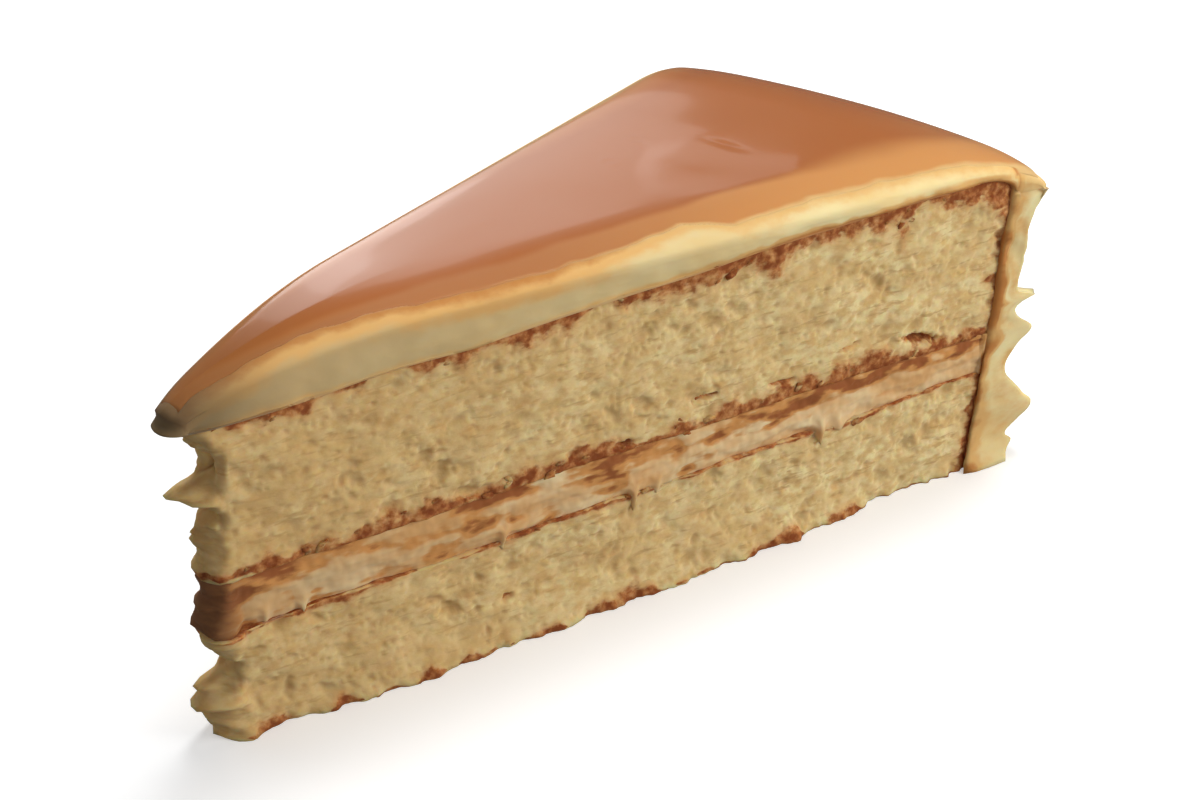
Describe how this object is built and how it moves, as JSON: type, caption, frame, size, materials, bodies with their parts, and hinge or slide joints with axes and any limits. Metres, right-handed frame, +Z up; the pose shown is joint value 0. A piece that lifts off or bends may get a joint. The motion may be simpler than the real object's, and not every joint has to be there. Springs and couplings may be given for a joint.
{
  "type": "honey cake slice",
  "caption": "Wedge slice of round sponge cake: sponge layers, cream filling between, cream icing over the top and down the outer side, clear honey glaze on top.",
  "frame": {"origin": "on the flat base, on the slice's middle line, 66 mm from the point that was the cake's centre", "axes": "+X along the middle of the slice from its tip to its iced outer side; +Z up; the cut side that the picture shows faces -Y"},
  "size_m": [0.1323, 0.0686, 0.0511],
  "materials": {
    "sponge": "dry open crumb, matt, with a browned crust at the baked faces",
    "filling": "soft cream with honey smears, satin",
    "icing": "smooth pale yellow cream, satin",
    "glaze": "clear amber brown honey glaze, glossy"
  },
  "bodies": {
    "root": {"sponge_lower": "sponge", "cream_filling": "filling", "sponge_upper": "sponge", "cream_icing": "icing", "honey_glaze": "glaze"}
  },
  "joints": []
}
